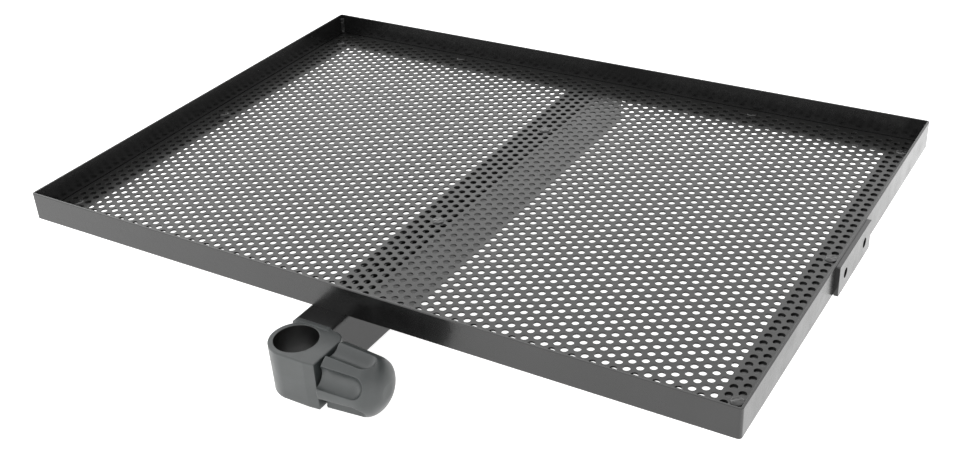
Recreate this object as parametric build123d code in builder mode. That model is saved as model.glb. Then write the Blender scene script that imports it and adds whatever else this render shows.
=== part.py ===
from build123d import *
from build123d.topology import SkipClean
import math
import os

# A perforated equipment tray on a pole clamp. Millimetres.
# Origin: centre of the clamp's pole bore. +Z runs up the pole, +X along the tray's long side,
# +Y from the clamp towards the back of the tray.

# ---- driving dimensions ----

# tray frame, welded from unequal steel angle
tray_width = 554.0
tray_depth = 388.0
wall_height = 21.0
angle_thickness = 1.6
flange_width = 25.0
corner_radius = 2.5
rim_rounding = 0.5
pole_to_left_end = 272.0
pole_to_front_wall = 34.2
bore_centre_to_tray_base = 19.0

# perforated sheet, 5 mm holes at 8 mm staggered pitch
sheet_thickness = 1.2
sheet_clearance = 0.6
hole_diameter = 5.0
hole_pitch = 8.0
first_hole_from_left = 5.8
first_hole_from_front = 5.1
edge_web = 1.0
strip_columns = 5

# support tube under the tray
tube_width = 30.0
tube_height = 40.0
tube_wall = 2.0
tube_corner = 3.0
tube_behind_tray = 17.0
plug_skirt = 14.0
plug_flange = 2.5
plug_flange_rounding = 1.0
plug_wall = 2.0

# welds
corner_bead = 3.0
tube_bead = 3.0
tube_bead_setback = 5.0
bracket_bead = 2.0
bracket_bead_length = 18.0
bracket_bead_spacing = 36.0
tack_radius = 4.8
tack_height = 0.9
tack_slope = 50.0
front_tube_tack = 120.0
rear_tube_tack = 282.0
tube_tack_offset = 6.0

# accessory bracket on the right-hand wall
bracket_length = 67.0
bracket_height = 22.0
bracket_thickness = 3.0
bracket_hole = 7.0
bracket_hole_spacing = 40.6
bracket_centre_height = 9.3
bracket_corner = 1.0

# moulded pole clamp
bore_diameter = 29.5
clamp_height = 36.0
clamp_wall = 3.6
clamp_draft = 0.4
boss_face = 26.7
boss_front_step = 0.8
boss_step_start = 18.7
boss_corner = 8.0
rear_flat_depth = 0.6
lower_rounding = 1.8
upper_rounding = 0.9
collar_length = 3.3
spigot_length = 26.0
spigot_clearance = 0.3

# self-tapping screws that hold the spigot in the tube
fixing_radius = 2.1
fixing_spacing = 16.0
fixing_offset = 1.0
fixing_head_radius = 4.0
fixing_head_height = 2.6
fixing_head_rounding = 1.6
fixing_slot_length = 4.4
fixing_slot_width = 1.1
pilot_radius = 1.7
pilot_depth = 10.0

# clamp screw, M8 x 1.25
screw_diameter = 8.0
screw_clearance = 0.05
screw_tip_diameter = 5.0
screw_tip_length = 1.2
screw_head_flats = 13.0
screw_head_height = 5.5
insert_flange_radius = 6.2
insert_flange_thickness = 1.5
insert_barrel_radius = 5.2
insert_start = 18.5
pad_radius = 6.0
pad_back = 17.6
pad_setback = 0.3
pad_length = 7.8
pad_pocket_clearance = 0.3
pad_pocket_start = 1.0
tip_clearance = 0.05

# clamp knob
knob_gap = 2.3
knob_length = 39.0
knob_near_radius = 21.4
knob_far_radius = 19.6
knob_grip_length = 27.0
flute_count = 6
flute_radius = 8.5
flute_offset = 24.5
flute_angle = 32.0
flute_run_out = 2.0
near_edge = 0.8
dome_shoulder = 3.4
dome_drop = 5.6
dome_flat = 5.0
collar_radius = 12.5
collar_reach = 3.5
recess_clearance = 0.7
recess_depth = 5.0
head_depth_in_knob = 14.0

# ---- derived places ----

left_x = -pole_to_left_end
right_x = left_x + tray_width
centre_x = left_x + tray_width / 2
front_y = pole_to_front_wall
back_y = front_y + tray_depth
centre_y = front_y + tray_depth / 2
base_z = bore_centre_to_tray_base
rim_z = base_z + wall_height
flange_top = base_z + angle_thickness
sheet_top = flange_top + sheet_thickness
bore_radius = bore_diameter / 2
clamp_radius = bore_radius + clamp_wall
clamp_top = clamp_height / 2
tube_front_y = clamp_radius
tube_back_y = back_y + tube_behind_tray
tube_centre_z = base_z - tube_height / 2
knob_face = boss_face + knob_gap

os.makedirs("parts", exist_ok=True)


def write(part, name):
    part.label = name
    export_step(part, "parts/" + name + ".step")


# ---- tray frame: four angles, mitred at the corners ----

with BuildPart() as frame_ring:
    with BuildSketch(Plane.XY.offset(base_z)):
        with Locations((centre_x, centre_y)):
            RectangleRounded(tray_width, tray_depth, corner_radius)
    extrude(amount=wall_height)
    with BuildSketch(Plane.XY.offset(flange_top)):
        with Locations((centre_x, centre_y)):
            Rectangle(tray_width - 2 * angle_thickness, tray_depth - 2 * angle_thickness)
    extrude(amount=wall_height, mode=Mode.SUBTRACT)
    with BuildSketch(Plane.XY.offset(base_z)):
        with Locations((centre_x, centre_y)):
            Rectangle(tray_width - 2 * flange_width, tray_depth - 2 * flange_width)
    extrude(amount=wall_height, mode=Mode.SUBTRACT)
    fillet(frame_ring.faces().sort_by(Axis.Z)[-1].outer_wire().edges(), radius=rim_rounding)

# half the depth: the mitres of the two ends of a side rail meet on this line
mitre_reach = tray_depth / 2


def mitred_rail(corner_a, corner_b, inward):
    """The stretch of the frame ring between two outer corners, cut at 45 degrees at each end."""
    ax, ay = corner_a
    bx, by = corner_b
    ux, uy = inward
    along = math.hypot(bx - ax, by - ay)
    dx, dy = (bx - ax) / along, (by - ay) / along
    inner_b = (bx + (ux - dx) * mitre_reach, by + (uy - dy) * mitre_reach)
    inner_a = (ax + (ux + dx) * mitre_reach, ay + (uy + dy) * mitre_reach)
    corners = [corner_a, corner_b, inner_b, inner_a]
    if along <= 2 * mitre_reach:
        corners = [corner_a, corner_b, inner_b]
    with BuildPart() as rail:
        add(frame_ring.part)
        with BuildSketch(Plane.XY.offset(base_z)):
            with BuildLine():
                Polyline(*corners, close=True)
            make_face()
        extrude(amount=wall_height, mode=Mode.INTERSECT)
    return rail.part


front_left = (left_x, front_y)
front_right = (right_x, front_y)
back_left = (left_x, back_y)
back_right = (right_x, back_y)

write(mitred_rail(front_left, front_right, (0, 1)), "front_rail")
write(mitred_rail(back_right, back_left, (0, -1)), "rear_rail")
write(mitred_rail(back_left, front_left, (1, 0)), "left_rail")

# the right-hand wall is drilled for the accessory bracket
bracket_z = base_z + bracket_centre_height
bracket_plane = Plane(origin=(right_x, centre_y, bracket_z), x_dir=(0, 1, 0), z_dir=(1, 0, 0))
bracket_holes = [(-bracket_hole_spacing / 2, 0), (bracket_hole_spacing / 2, 0)]
with BuildPart() as right_rail:
    add(mitred_rail(front_right, back_right, (-1, 0)))
    with BuildSketch(bracket_plane):
        with Locations(*bracket_holes):
            Circle(bracket_hole / 2)
    extrude(amount=-2 * angle_thickness, mode=Mode.SUBTRACT)
write(right_rail.part, "right_rail")

# ---- corner welds: a bead up each inside corner, above the sheet ----

bead_top = rim_z - corner_bead
inner_left = left_x + angle_thickness
inner_right = right_x - angle_thickness
inner_front = front_y + angle_thickness
inner_back = back_y - angle_thickness
inside_corners = {
    "front_left": (inner_left, inner_front, 0),
    "front_right": (inner_right, inner_front, 90),
    "back_right": (inner_right, inner_back, 180),
    "back_left": (inner_left, inner_back, 270),
}


def quarter_bead(plane, radius, length):
    """A weld bead with a quarter-round section in plane's first quadrant."""
    with BuildPart() as bead:
        with BuildSketch(plane):
            with BuildLine():
                Line((0, 0), (radius, 0))
                CenterArc((0, 0), radius, 0, 90)
                Line((0, radius), (0, 0))
            make_face()
        extrude(amount=length)
    return bead.part


for corner, (x, y, turn) in inside_corners.items():
    plane = Plane(origin=(x, y, sheet_top)).rotated((0, 0, turn))
    write(quarter_bead(plane, corner_bead, bead_top - sheet_top), "corner_weld_" + corner)

# ---- perforated sheet ----

sheet_left = inner_left + sheet_clearance
sheet_right = inner_right - sheet_clearance
sheet_front = inner_front + sheet_clearance
sheet_back = inner_back - sheet_clearance
column_spacing = hole_pitch * math.sqrt(3) / 2
margin = hole_diameter / 2 + edge_web

columns = []
column_count = int((sheet_right - sheet_left - first_hole_from_left - margin) / column_spacing) + 1
for column in range(column_count):
    x = sheet_left + first_hole_from_left + column * column_spacing
    stagger = hole_pitch / 2 if column % 2 else 0.0
    row_start = sheet_front + first_hole_from_front + stagger
    row_count = int((sheet_back - margin - row_start) / hole_pitch) + 1
    columns.append([(x, row_start + row * hole_pitch) for row in range(row_count)])
hole_centres = [hole for column in columns for hole in column]


def sheet_strip(low_x, high_x, holes):
    """A strip of the sheet, its face made at once from the outline and the rings of its holes."""
    outline = Wire.make_polygon(
        [(low_x, sheet_front), (high_x, sheet_front), (high_x, sheet_back), (low_x, sheet_back)],
        close=True,
    )
    rings = [Wire.make_circle(hole_diameter / 2, Plane((x, y, 0))) for x, y in holes]
    face = Face(outline, rings).moved(Location((0, 0, flange_top)))
    return Solid.extrude(face, Vector(0, 0, sheet_thickness))


# the strips meet midway between two columns, where no hole is cut, and are glued into one solid
seams = [sheet_left]
for first in range(strip_columns, column_count, strip_columns):
    seams.append(columns[first][0][0] - column_spacing / 2)
seams.append(sheet_right)
strips = []
for number in range(len(seams) - 1):
    first = number * strip_columns
    holes = [hole for column in columns[first : first + strip_columns] for hole in column]
    strips.append(sheet_strip(seams[number], seams[number + 1], holes))
with SkipClean():
    mesh_panel = strips[0].fuse(*strips[1:], glue=True)
write(mesh_panel, "mesh_panel")


# ---- tack welds: plug welds through single holes of the sheet ----


def nearest_hole(x, y):
    return min(hole_centres, key=lambda hole: math.hypot(hole[0] - x, hole[1] - y))


side_inset = flange_width / 2
frame_tacks = [
    (left_x + side_inset, centre_y),
    (right_x - side_inset, centre_y),
    (left_x + side_inset, front_y + flange_width),
    (right_x - side_inset, front_y + flange_width),
    (left_x + side_inset, back_y - flange_width),
    (right_x - side_inset, back_y - flange_width),
    (left_x + tray_width / 4, back_y - side_inset),
    (right_x - tray_width / 4, back_y - side_inset),
    (left_x + tray_width / 4, front_y + side_inset),
    (right_x - tray_width / 4, front_y + side_inset),
]
tube_tacks = [
    (tube_tack_offset, front_y + front_tube_tack),
    (tube_tack_offset, front_y + rear_tube_tack),
]


def plug_weld(x, y, seat_z):
    """A weld that fills one hole down to what lies under the sheet, with a flat button on top."""
    with BuildPart() as plug:
        with BuildSketch(Plane.XY.offset(seat_z)):
            with Locations((x, y)):
                Circle(hole_diameter / 2)
        extrude(amount=sheet_top - seat_z)
        with BuildSketch(Plane.XY.offset(sheet_top)):
            with Locations((x, y)):
                Circle(tack_radius)
        extrude(amount=tack_height, taper=tack_slope)
    return plug.part


tacks = [plug_weld(*nearest_hole(x, y), flange_top) for x, y in frame_tacks]
tacks += [plug_weld(*nearest_hole(x, y), base_z) for x, y in tube_tacks]
write(Compound(children=tacks), "mesh_tack_welds")

# ---- support tube, its end plug and its welds to the frame ----

front_face = Plane(origin=(0, tube_front_y, tube_centre_z), x_dir=(1, 0, 0), z_dir=(0, 1, 0))
tube_length = tube_back_y - tube_front_y
cavity_width = tube_width - 2 * tube_wall
cavity_height = tube_height - 2 * tube_wall
cavity_corner = tube_corner - tube_wall

fixing_y = (tube_front_y + front_y) / 2 + fixing_offset
left_side = Plane(origin=(-tube_width / 2, fixing_y, tube_centre_z), x_dir=(0, 1, 0), z_dir=(-1, 0, 0))
fixing_places = [(0, -fixing_spacing / 2), (0, fixing_spacing / 2)]

with BuildPart() as support_tube:
    with BuildSketch(front_face):
        RectangleRounded(tube_width, tube_height, tube_corner)
        RectangleRounded(cavity_width, cavity_height, cavity_corner, mode=Mode.SUBTRACT)
    extrude(amount=tube_length)
    with BuildSketch(left_side):
        with Locations(*fixing_places):
            Circle(fixing_radius)
    extrude(amount=-2 * tube_wall, mode=Mode.SUBTRACT)
write(support_tube.part, "support_tube")

back_face = Plane(origin=(0, tube_back_y, tube_centre_z), x_dir=(1, 0, 0), z_dir=(0, 1, 0))
plug_width = cavity_width - 2 * spigot_clearance
plug_height = cavity_height - 2 * spigot_clearance
with BuildPart() as tube_end_plug:
    with BuildSketch(back_face):
        RectangleRounded(tube_width, tube_height, tube_corner)
    extrude(amount=plug_flange)
    fillet(tube_end_plug.faces().sort_by(Axis.Y)[-1].edges(), radius=plug_flange_rounding)
    with BuildSketch(back_face):
        RectangleRounded(plug_width, plug_height, cavity_corner)
        Rectangle(plug_width - 2 * plug_wall, plug_height - 2 * plug_wall, mode=Mode.SUBTRACT)
    extrude(amount=-plug_skirt)
write(tube_end_plug.part, "tube_end_plug")

# beads in the grooves between the tube's sides and the underside of the flanges
bead_length = flange_width - tube_bead_setback
right_groove = Plane(origin=(tube_width / 2, 0, base_z), x_dir=(1, 0, 0), z_dir=(0, 1, 0))
left_groove = Plane(origin=(-tube_width / 2, 0, base_z), x_dir=(0, 0, -1), z_dir=(0, 1, 0))


def tube_weld(start_y, name):
    beads = []
    for groove in (right_groove, left_groove):
        plane = Plane(origin=groove.origin + Vector(0, start_y, 0), x_dir=groove.x_dir, z_dir=groove.z_dir)
        beads.append(quarter_bead(plane, tube_bead, bead_length))
    write(Compound(children=beads), name)


tube_weld(front_y + tube_bead_setback, "tube_weld_front")
tube_weld(back_y - flange_width, "tube_weld_rear")

# ---- accessory bracket ----

with BuildPart() as accessory_bracket:
    with BuildSketch(bracket_plane):
        RectangleRounded(bracket_length, bracket_height, bracket_corner)
        with Locations(*bracket_holes):
            Circle(bracket_hole / 2, mode=Mode.SUBTRACT)
    extrude(amount=bracket_thickness)
write(accessory_bracket.part, "accessory_bracket")

bracket_bottom_z = bracket_z - bracket_height / 2
bead_depth = min(bracket_bead, base_z - bracket_bottom_z)
beads = []
for middle_y in (centre_y - bracket_bead_spacing / 2, centre_y + bracket_bead_spacing / 2):
    start_y = middle_y - bracket_bead_length / 2
    plane = Plane(origin=(right_x, start_y, base_z), x_dir=(0, 0, -1), z_dir=(0, 1, 0))
    beads.append(quarter_bead(plane, bead_depth, bracket_bead_length))
write(Compound(children=beads), "bracket_welds")

# ---- clamp body ----

rear_y = clamp_radius - rear_flat_depth


def clamp_outline(height, shrink):
    """Plan of the clamp: round about the bore on the left, square boss for the screw on the right."""
    radius = clamp_radius - shrink
    front = -radius
    rear_left_x = -math.sqrt(clamp_radius**2 - rear_y**2)
    with BuildSketch(Plane.XY.offset(height)) as outline:
        with BuildLine():
            Line((0, front), (boss_step_start, front))
            Line((boss_step_start, front), (boss_face, front + boss_front_step))
            Line((boss_face, front + boss_front_step), (boss_face, rear_y - boss_corner))
            RadiusArc((boss_face, rear_y - boss_corner), (boss_face - boss_corner, rear_y), -boss_corner)
            Line((boss_face - boss_corner, rear_y), (rear_left_x, rear_y))
            ThreePointArc((rear_left_x, rear_y), (-radius, 0), (0, front))
        make_face()
    return outline.sketch


collar_plane = Plane(origin=(0, tube_front_y, tube_centre_z), x_dir=(1, 0, 0), z_dir=(0, 1, 0))
screw_plane = Plane(origin=(0, 0, 0), x_dir=(0, 1, 0), z_dir=(1, 0, 0))
spigot_width = cavity_width - 2 * spigot_clearance
spigot_height = cavity_height - 2 * spigot_clearance

with BuildPart() as clamp_body:
    add(clamp_outline(clamp_top, 0.0))
    add(clamp_outline(-clamp_top, clamp_draft))
    loft()
    fillet(clamp_body.faces().sort_by(Axis.Z)[0].edges(), radius=lower_rounding)
    fillet(clamp_body.faces().sort_by(Axis.Z)[-1].edges(), radius=upper_rounding)
    # collar that seats on the end of the tube, and the spigot inside it
    with BuildSketch(collar_plane):
        RectangleRounded(tube_width, tube_height, tube_corner)
    extrude(amount=-collar_length)
    with BuildSketch(collar_plane):
        RectangleRounded(spigot_width, spigot_height, cavity_corner)
    extrude(amount=spigot_length)
    # round collar for the screw on the boss
    with BuildSketch(screw_plane.offset(insert_start)):
        Circle(collar_radius)
    extrude(amount=boss_face + collar_reach - insert_start)
    # pole bore
    with BuildSketch(Plane.XY.offset(-clamp_height)):
        Circle(bore_radius)
    extrude(amount=2 * clamp_height, mode=Mode.SUBTRACT)
    # pocket for the pad, then the seat of the threaded insert
    with BuildSketch(screw_plane.offset(pad_pocket_start)):
        Circle(pad_radius + pad_pocket_clearance)
    extrude(amount=insert_start - pad_pocket_start, mode=Mode.SUBTRACT)
    with BuildSketch(screw_plane.offset(insert_start)):
        Circle(insert_flange_radius)
    extrude(amount=insert_flange_thickness, mode=Mode.SUBTRACT)
    with BuildSketch(screw_plane.offset(insert_start)):
        Circle(insert_barrel_radius)
    extrude(amount=boss_face + collar_reach, mode=Mode.SUBTRACT)
    # pilot holes for the fixing screws
    with BuildSketch(left_side):
        with Locations(*fixing_places):
            Circle(pilot_radius)
    extrude(amount=-pilot_depth, mode=Mode.SUBTRACT)
write(clamp_body.part, "clamp_body")

# ---- screws that hold the spigot in the tube ----

with BuildPart() as clamp_fixing_screws:
    with BuildSketch(left_side):
        with Locations(*fixing_places):
            Circle(fixing_head_radius)
    extrude(amount=fixing_head_height)
    fillet(clamp_fixing_screws.faces().group_by(Axis.X)[0].edges(), radius=fixing_head_rounding)
    with BuildSketch(left_side.offset(fixing_head_height - fixing_head_rounding)):
        with Locations(*fixing_places):
            Rectangle(fixing_slot_length, fixing_slot_width)
            Rectangle(fixing_slot_width, fixing_slot_length)
    extrude(amount=fixing_head_height, mode=Mode.SUBTRACT)
    with BuildSketch(left_side):
        with Locations(*fixing_places):
            Circle(pilot_radius)
    extrude(amount=-pilot_depth)
write(clamp_fixing_screws.part, "clamp_fixing_screws")

# ---- threaded insert, pressure pad, clamp screw ----

screw_radius = screw_diameter / 2
insert_end = boss_face + collar_reach
with BuildPart() as threaded_insert:
    with BuildSketch(screw_plane.offset(insert_start)):
        Circle(insert_flange_radius)
    extrude(amount=insert_flange_thickness)
    with BuildSketch(screw_plane.offset(insert_start)):
        Circle(insert_barrel_radius)
    extrude(amount=insert_end - insert_start)
    with BuildSketch(screw_plane.offset(insert_start)):
        Circle(screw_radius + screw_clearance)
    extrude(amount=insert_end, mode=Mode.SUBTRACT)
write(threaded_insert.part, "threaded_insert")

with BuildPart() as pressure_pad:
    with BuildSketch(screw_plane.offset(pad_back)):
        Circle(pad_radius)
    extrude(amount=-pad_length)
    # the face that bears on the pole follows the bore
    with BuildSketch(Plane.XY.offset(-clamp_height)):
        Circle(bore_radius + pad_setback)
    extrude(amount=2 * clamp_height, mode=Mode.SUBTRACT)
    with BuildSketch(screw_plane.offset(pad_back)):
        Circle(screw_tip_diameter / 2 + tip_clearance)
    extrude(amount=-(screw_tip_length + tip_clearance), mode=Mode.SUBTRACT)
write(pressure_pad.part, "pressure_pad")

screw_shoulder = pad_back + tip_clearance
head_start = knob_face + head_depth_in_knob
with BuildPart() as clamp_screw:
    with BuildSketch(screw_plane.offset(screw_shoulder - screw_tip_length)):
        Circle(screw_tip_diameter / 2)
    extrude(amount=screw_tip_length)
    with BuildSketch(screw_plane.offset(screw_shoulder)):
        Circle(screw_radius)
    extrude(amount=head_start - screw_shoulder)
    with BuildSketch(screw_plane.offset(head_start)):
        RegularPolygon(screw_head_flats / 2, 6, major_radius=False)
    extrude(amount=screw_head_height)
write(clamp_screw.part, "clamp_screw")

# ---- clamp knob ----

dome_start = knob_face + knob_grip_length
knob_end = knob_face + knob_length
with BuildPart() as clamp_knob:
    with BuildSketch(Plane.XZ):
        with BuildLine():
            Line((knob_face, 0), (knob_face, knob_near_radius - near_edge))
            Line((knob_face, knob_near_radius - near_edge), (knob_face + near_edge, knob_near_radius))
            Line((knob_face + near_edge, knob_near_radius), (dome_start, knob_far_radius))
            Spline(
                (dome_start, knob_far_radius),
                (knob_end - dome_shoulder, knob_far_radius - dome_drop),
                (knob_end, dome_flat),
                tangents=[(1, -0.07), (0.1, -1)],
            )
            Line((knob_end, dome_flat), (knob_end, 0))
            Line((knob_end, 0), (knob_face, 0))
        make_face()
    revolve(axis=Axis.X)
    # six flutes, each a round groove that ends in a ball-nosed run-out at the dome
    flute_end = dome_start - flute_run_out
    slope = (knob_near_radius - knob_far_radius) / knob_grip_length
    for flute in range(flute_count):
        angle = math.radians(flute_angle + flute * 360 / flute_count)
        across = (math.cos(angle), math.sin(angle))
        near = (knob_face - knob_gap, flute_offset * across[0], flute_offset * across[1])
        far_offset = flute_offset - slope * (flute_end - knob_face)
        far = (flute_end, far_offset * across[0], far_offset * across[1])
        run = Vector(*far) - Vector(*near)
        with BuildSketch(Plane(origin=near, z_dir=run)):
            Circle(flute_radius)
        extrude(amount=run.length, mode=Mode.SUBTRACT)
        with Locations(far):
            Sphere(flute_radius, mode=Mode.SUBTRACT)
    # recess that slips over the collar of the clamp body, then the seat of the moulded-in screw
    with BuildSketch(screw_plane.offset(knob_face)):
        Circle(collar_radius + recess_clearance)
    extrude(amount=recess_depth, mode=Mode.SUBTRACT)
    with BuildSketch(screw_plane.offset(knob_face)):
        Circle(screw_radius)
    extrude(amount=head_start - knob_face, mode=Mode.SUBTRACT)
    with BuildSketch(screw_plane.offset(head_start)):
        RegularPolygon(screw_head_flats / 2, 6, major_radius=False)
    extrude(amount=screw_head_height, mode=Mode.SUBTRACT)
write(clamp_knob.part, "clamp_knob")
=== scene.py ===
import math

import bmesh
import bpy
from mathutils import Euler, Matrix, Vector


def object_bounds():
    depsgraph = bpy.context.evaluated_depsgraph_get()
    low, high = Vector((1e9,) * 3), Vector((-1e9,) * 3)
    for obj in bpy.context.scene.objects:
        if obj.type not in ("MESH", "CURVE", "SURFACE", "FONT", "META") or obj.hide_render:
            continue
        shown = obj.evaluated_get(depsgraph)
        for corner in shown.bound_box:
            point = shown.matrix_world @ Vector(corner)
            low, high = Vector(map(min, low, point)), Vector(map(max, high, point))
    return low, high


# The looks of a perforated tray on a pole clamp: materials, weld and moulding detail, floor, light
# and camera. Metres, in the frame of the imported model.

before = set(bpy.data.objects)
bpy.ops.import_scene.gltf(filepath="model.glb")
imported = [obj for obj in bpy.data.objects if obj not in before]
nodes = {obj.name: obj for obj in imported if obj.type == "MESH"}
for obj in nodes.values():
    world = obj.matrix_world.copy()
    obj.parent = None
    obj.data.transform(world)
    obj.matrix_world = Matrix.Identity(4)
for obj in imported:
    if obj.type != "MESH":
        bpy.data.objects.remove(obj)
cad_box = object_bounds()

# ---- sizes and settings ----

# camera, as solved from the photograph
LENS_MM = 48.2
SENSOR_WIDTH_MM = 36.0
CLIP_NEAR = 0.01
CLIP_FAR = 50.0
CAMERA_PLACE = (0.4618, -0.4941, 0.4865)
CAMERA_TURN_DEG = (59.271, 3.089, 30.989)

# how far the normal of a rounded edge turns from the face's own, as a cosine: flat, fully an edge
FLAT_COSINE = 0.99
EDGE_COSINE = 0.80
BEVEL_SAMPLES = 4

# distance from the pole's axis within which the bore wall is painted near-black as shade, and where
# that painted shade has faded out
BORE_SHADE_FULL_RADIUS = 0.01475
BORE_SHADE_END_RADIUS = 0.01495

# the part of a noise's range that is used
NOISE_LOW = 0.30
NOISE_HIGH = 0.75
CLOUD_LOW = 0.35
CLOUD_HIGH = 0.70

# powder coat
CLOUD_SIZE = 0.045
SPECK_SIZE = 0.0011
SPECK_LOW = 0.64
SPECK_HIGH = 0.74
ORANGE_PEEL_SIZE = 0.0032
SHEEN_CLOUD_SIZE = 0.02
DUST_COLOR = (0.06, 0.06, 0.058)
RUBBED_PAINT_COLOR = (0.05, 0.05, 0.05)
RUBBED_PAINT_SHARE = 0.3

# moulded plastic
FLOW_SIZE = 0.03
GRAIN_SIZE = 0.0006
HANDLED_SIZE = 0.008
PLASTIC_GLOSS = 0.65
PLASTIC_EDGE_RADIUS = 0.0015
# share of the painted edge highlight on moulded plastic
PLASTIC_EDGE_HIGHLIGHT_SHARE = 0.6
# near-black painted shade for the wall of the pole bore
BORE_PAINTED_SHADE_COLOR = (0.002, 0.002, 0.002)

# bare metal
TARNISH_SIZE = 0.006
TARNISH_SHADE = 0.62
TOOL_MARK_SIZE = 0.0009
TOOL_MARK_STRETCH = (0.3, 4, 4)

# weld beads
BEAD_MESH_SIZE = 0.0004
BEAD_SMOOTHING = 0.5
BEAD_SMOOTHING_ROUNDS = 3
BEAD_LUMP_SIZE = 0.0022
BEAD_LUMP_DEPTH = 2
BEAD_LUMP_HEIGHT = 0.0007
BEAD_LUMP_LEVEL = 0.55

# floor and sky
FLOOR_GAP = 0.0002
FLOOR_RADIUS = 8.0
FLOOR_GLOW = 0.9
FLOOR_GLOW_COLOR = (1.0, 1.0, 0.995, 1.0)
BRIGHT_WAY = (-0.35, 0.0, -0.95)
DIM_END = -1.0
BRIGHT_END = 0.6
DIM_STRENGTH = 1.25
BRIGHT_STRENGTH = 2.65

# ---- camera ----

camera_data = bpy.data.cameras.new("camera")
camera_data.lens = LENS_MM
camera_data.sensor_width = SENSOR_WIDTH_MM
camera_data.clip_start = CLIP_NEAR
camera_data.clip_end = CLIP_FAR
camera = bpy.data.objects.new("camera", camera_data)
camera.location = CAMERA_PLACE
camera.rotation_euler = Euler([math.radians(a) for a in CAMERA_TURN_DEG], "XYZ")
bpy.context.scene.collection.objects.link(camera)
bpy.context.scene.camera = camera
bpy.context.scene.view_settings.view_transform = "Standard"

# ---- small tools for node materials ----


class Paint:
    """Builds one node material around a Principled shader, in object coordinates of metres."""

    def __init__(self, name, color, roughness, **inputs):
        self.material = bpy.data.materials.new(name)
        self.material.use_nodes = True
        self.tree = self.material.node_tree
        self.tree.nodes.clear()
        self.shader = self.tree.nodes.new("ShaderNodeBsdfPrincipled")
        output = self.tree.nodes.new("ShaderNodeOutputMaterial")
        self.tree.links.new(self.shader.outputs["BSDF"], output.inputs["Surface"])
        self.shader.inputs["Base Color"].default_value = (*color, 1.0)
        self.shader.inputs["Roughness"].default_value = roughness
        for key, value in inputs.items():
            self.shader.inputs[key.replace("_", " ")].default_value = value
        self.place = self.tree.nodes.new("ShaderNodeTexCoord").outputs["Object"]

    def node(self, kind, **settings):
        made = self.tree.nodes.new(kind)
        for key, value in settings.items():
            setattr(made, key, value)
        return made

    def link(self, a, b):
        self.tree.links.new(a, b)

    def noise(self, size, detail=4.0, roughness=0.55, stretch=(1, 1, 1), distortion=0.0):
        """Noise with features about size metres across."""
        spread = self.node("ShaderNodeMapping")
        spread.inputs["Scale"].default_value = [1.0 / (size * s) for s in stretch]
        self.link(self.place, spread.inputs["Vector"])
        made = self.node("ShaderNodeTexNoise")
        made.inputs["Scale"].default_value = 1.0
        made.inputs["Detail"].default_value = detail
        made.inputs["Roughness"].default_value = roughness
        made.inputs["Distortion"].default_value = distortion
        self.link(spread.outputs["Vector"], made.inputs["Vector"])
        return made.outputs["Fac"]

    def ramp(self, value, low, high, bottom=0.0, top=1.0):
        """bottom where value is low, top where it is high, and a straight line in between."""
        made = self.node("ShaderNodeMapRange", clamp=True)
        made.inputs["From Min"].default_value = low
        made.inputs["From Max"].default_value = high
        made.inputs["To Min"].default_value = bottom
        made.inputs["To Max"].default_value = top
        self.link(value, made.inputs["Value"])
        return made.outputs["Result"]

    def times(self, socket, factor):
        made = self.node("ShaderNodeMath", operation="MULTIPLY")
        self.link(socket, made.inputs[0])
        made.inputs[1].default_value = factor
        return made.outputs[0]

    def mix(self, factor, a, b):
        """Colour a where factor is 0, b where it is 1. Each is a colour or a socket."""
        made = self.node("ShaderNodeMix", data_type="RGBA")
        self.link(factor, made.inputs["Factor"])
        for socket, value in ((made.inputs[6], a), (made.inputs[7], b)):
            if isinstance(value, tuple):
                socket.default_value = (*value, 1.0)
            else:
                self.link(value, socket)
        return made.outputs[2]

    def rounded(self, radius):
        """The normal, with edges rounded off."""
        bevel = self.node("ShaderNodeBevel", samples=BEVEL_SAMPLES)
        bevel.inputs["Radius"].default_value = radius
        return bevel.outputs["Normal"]

    def edges(self, radius=0.0012):
        """1 on sharp edges and corners, 0 on flats."""
        geometry = self.node("ShaderNodeNewGeometry")
        dot = self.node("ShaderNodeVectorMath", operation="DOT_PRODUCT")
        self.link(self.rounded(radius), dot.inputs[0])
        self.link(geometry.outputs["Normal"], dot.inputs[1])
        return self.ramp(dot.outputs["Value"], FLAT_COSINE, EDGE_COSINE)

    def bore_painted_shade(self):
        """1 on the wall of the pole bore, where shade is painted in near-black, 0 elsewhere."""
        flat = self.node("ShaderNodeVectorMath", operation="MULTIPLY")
        flat.inputs[1].default_value = (1, 1, 0)
        self.link(self.place, flat.inputs[0])
        reach = self.node("ShaderNodeVectorMath", operation="LENGTH")
        self.link(flat.outputs["Vector"], reach.inputs[0])
        return self.ramp(reach.outputs["Value"], BORE_SHADE_END_RADIUS, BORE_SHADE_FULL_RADIUS)

    def color(self, value):
        self.link(value, self.shader.inputs["Base Color"])

    def rough(self, value):
        self.link(value, self.shader.inputs["Roughness"])

    def bump(self, *layers, soften):
        """Bump from (height socket, distance in metres, strength) layers, over rounded edges."""
        normal = self.rounded(soften)
        for height, distance, strength in layers:
            made = self.node("ShaderNodeBump")
            made.inputs["Distance"].default_value = distance
            made.inputs["Strength"].default_value = strength
            self.link(height, made.inputs["Height"])
            self.link(normal, made.inputs["Normal"])
            normal = made.outputs["Normal"]
        self.link(normal, self.shader.inputs["Normal"])


# ---- materials ----


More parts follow.
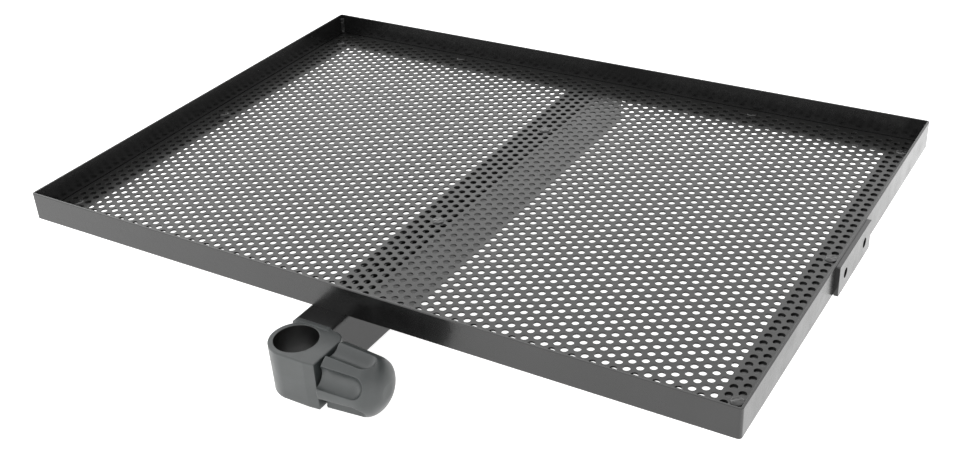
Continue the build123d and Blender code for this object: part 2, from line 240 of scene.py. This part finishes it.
def powder_coat(name, color, roughness, dust, gloss):
    """Satin black powder coat: orange peel, dust in places, edges worn a little lighter."""
    paint = Paint(name, color, roughness, Specular_IOR_Level=gloss)
    cloud = paint.noise(CLOUD_SIZE, detail=5)
    speck = paint.noise(SPECK_SIZE, detail=2)
    lighter = tuple(c * 1.6 + 0.001 for c in color)
    tone = paint.mix(paint.ramp(cloud, CLOUD_LOW, CLOUD_HIGH), color, lighter)
    specks = paint.times(paint.ramp(speck, SPECK_LOW, SPECK_HIGH), dust)
    tone = paint.mix(specks, tone, DUST_COLOR)
    paint.color(paint.mix(paint.times(paint.edges(), RUBBED_PAINT_SHARE), tone, RUBBED_PAINT_COLOR))
    sheen = paint.noise(SHEEN_CLOUD_SIZE, detail=6)
    paint.rough(paint.ramp(sheen, NOISE_LOW, NOISE_HIGH, roughness - 0.05, roughness + 0.08))
    peel = paint.noise(ORANGE_PEEL_SIZE, detail=1)
    paint.bump((peel, 0.0004, 0.10), (speck, 0.0001, 0.12), soften=0.0004)
    return paint.material


def moulded(name, color, roughness, grain):
    """Moulded nylon: spark-eroded grain, faint flow marks, edges painted a little paler as a
    highlight, and the pole bore painted near-black as shade.
    """
    paint = Paint(name, color, roughness, Specular_IOR_Level=PLASTIC_GLOSS)
    flow = paint.noise(FLOW_SIZE, detail=5, stretch=(1, 1, 0.35), distortion=0.6)
    pale = tuple(c * 1.3 + 0.002 for c in color)
    tone = paint.mix(paint.ramp(flow, CLOUD_LOW, CLOUD_HIGH), color, pale)
    # painted highlight: the edges are painted paler to stand in for the light they catch
    plastic_edge_highlight = tuple(c * 1.8 + 0.015 for c in color)
    edges = paint.times(paint.edges(PLASTIC_EDGE_RADIUS), PLASTIC_EDGE_HIGHLIGHT_SHARE)
    tone = paint.mix(edges, tone, plastic_edge_highlight)
    # painted shade: the wall of the pole bore is painted near-black where shade falls deep inside
    # it
    paint.color(paint.mix(paint.bore_painted_shade(), tone, BORE_PAINTED_SHADE_COLOR))
    handled = paint.noise(HANDLED_SIZE, detail=6)
    paint.rough(paint.ramp(handled, NOISE_LOW, NOISE_HIGH, roughness - 0.06, roughness + 0.08))
    erosion = paint.noise(GRAIN_SIZE, detail=3)
    paint.bump((erosion, 0.00008, grain), (flow, 0.0006, 0.08), soften=0.0009)
    return paint.material


def bare_metal(name, color, roughness):
    """Plated or turned metal with fine marks along one way and a clouded sheen."""
    paint = Paint(name, color, roughness, Metallic=1.0)
    dull = tuple(c * TARNISH_SHADE for c in color)
    tarnish = paint.noise(TARNISH_SIZE, detail=6)
    paint.color(paint.mix(paint.ramp(tarnish, CLOUD_LOW, CLOUD_HIGH), color, dull))
    marks = paint.noise(TOOL_MARK_SIZE, detail=3, stretch=TOOL_MARK_STRETCH)
    paint.rough(paint.ramp(marks, NOISE_LOW, NOISE_HIGH, roughness - 0.08, roughness + 0.14))
    paint.bump((marks, 0.00004, 0.35), soften=0.0002)
    return paint.material


rail_paint = powder_coat("rail_paint", (0.004, 0.004, 0.004), 0.22, dust=0.06, gloss=0.62)
sheet_paint = powder_coat("sheet_paint", (0.006, 0.006, 0.0057), 0.32, dust=0.12, gloss=0.55)
weld_paint = powder_coat("weld_paint", (0.005, 0.005, 0.005), 0.16, dust=0.05, gloss=0.62)
clamp_plastic = moulded("clamp_plastic", (0.020, 0.0235, 0.0235), 0.36, grain=0.45)
plug_plastic = moulded("plug_plastic", (0.010, 0.010, 0.010), 0.45, grain=0.4)
pad_plastic = moulded("pad_plastic", (0.015, 0.015, 0.015), 0.5, grain=0.3)
zinc = bare_metal("zinc_plate", (0.62, 0.62, 0.60), 0.32)
brass = bare_metal("turned_brass", (0.72, 0.55, 0.25), 0.30)

welds = [name for name in nodes if "weld" in name]
finishes = {name: rail_paint for name in nodes}
finishes.update({name: weld_paint for name in welds})
finishes.update({
    "mesh_panel": sheet_paint,
    "clamp_body": clamp_plastic,
    "clamp_knob": clamp_plastic,
    "tube_end_plug": plug_plastic,
    "pressure_pad": pad_plastic,
    "clamp_screw": zinc,
    "clamp_fixing_screws": zinc,
    "threaded_insert": brass,
})
for name, material in finishes.items():
    mesh = nodes[name].data
    mesh.materials.clear()
    mesh.materials.append(material)

# ---- weld beads: remeshed fine, smoothed and made lumpy ----

lumps = bpy.data.textures.new("bead_lumps", "CLOUDS")
lumps.noise_scale = BEAD_LUMP_SIZE
lumps.noise_depth = BEAD_LUMP_DEPTH
for name in welds:
    weld = nodes[name]
    fine = weld.modifiers.new("fine_mesh", "REMESH")
    fine.mode = "VOXEL"
    fine.voxel_size = BEAD_MESH_SIZE
    fine.use_smooth_shade = True
    rounded = weld.modifiers.new("rounded", "SMOOTH")
    rounded.factor = BEAD_SMOOTHING
    rounded.iterations = BEAD_SMOOTHING_ROUNDS
    lumpy = weld.modifiers.new("lumpy", "DISPLACE")
    lumpy.texture = lumps
    lumpy.texture_coords = "LOCAL"
    lumpy.strength = BEAD_LUMP_HEIGHT
    lumpy.mid_level = BEAD_LUMP_LEVEL

# ---- floor: a white shooting table that glows a little ----

low, high = cad_box
centre = (low + high) / 2


def table_top(z, radius, rings=24, sides=96):
    """A round white table top, finer towards its middle."""
    mesh = bpy.data.meshes.new("studio_floor")
    top = bmesh.new()
    middle = top.verts.new((0, 0, z))
    turns = [math.tau * i / sides for i in range(sides)]
    inner = None
    for ring in range(1, rings + 1):
        reach = radius * (ring / rings) ** 2
        outer = [top.verts.new((reach * math.cos(a), reach * math.sin(a), z)) for a in turns]
        for i in range(sides):
            j = (i + 1) % sides
            if inner is None:
                top.faces.new((middle, outer[i], outer[j]))
            else:
                top.faces.new((inner[i], outer[i], outer[j], inner[j]))
        inner = outer
    top.to_mesh(mesh)
    top.free()
    made = bpy.data.objects.new("studio_floor", mesh)
    made.location = (centre.x, centre.y, 0)
    bpy.context.scene.collection.objects.link(made)
    return made


floor = table_top(low.z - FLOOR_GAP, FLOOR_RADIUS)
paper = Paint(
    "studio_paper", (0.70, 0.70, 0.70), 0.9, Specular_IOR_Level=0.1, Emission_Strength=FLOOR_GLOW
)
paper.shader.inputs["Emission Color"].default_value = FLOOR_GLOW_COLOR
mottle = paper.ramp(paper.noise(0.02), 0.3, 0.7)
paper.color(paper.mix(mottle, (0.69, 0.69, 0.69), (0.71, 0.71, 0.71)))
floor.data.materials.append(paper.material)

# ---- light: an even white sky, brighter low down and towards the left, as between soft boxes ----

world = bpy.data.worlds.new("studio")
world.use_nodes = True
sky = world.node_tree.nodes["Background"]
sky.inputs["Color"].default_value = (1.0, 1.0, 1.0, 1.0)
way = world.node_tree.nodes.new("ShaderNodeTexCoord")
slant = world.node_tree.nodes.new("ShaderNodeVectorMath")
slant.operation = "DOT_PRODUCT"
slant.inputs[1].default_value = BRIGHT_WAY
glow = world.node_tree.nodes.new("ShaderNodeMapRange")
glow.inputs["From Min"].default_value = DIM_END
glow.inputs["From Max"].default_value = BRIGHT_END
glow.inputs["To Min"].default_value = DIM_STRENGTH
glow.inputs["To Max"].default_value = BRIGHT_STRENGTH
world.node_tree.links.new(way.outputs["Generated"], slant.inputs[0])
world.node_tree.links.new(slant.outputs["Value"], glow.inputs["Value"])
world.node_tree.links.new(glow.outputs["Result"], sky.inputs["Strength"])
bpy.context.scene.world = world
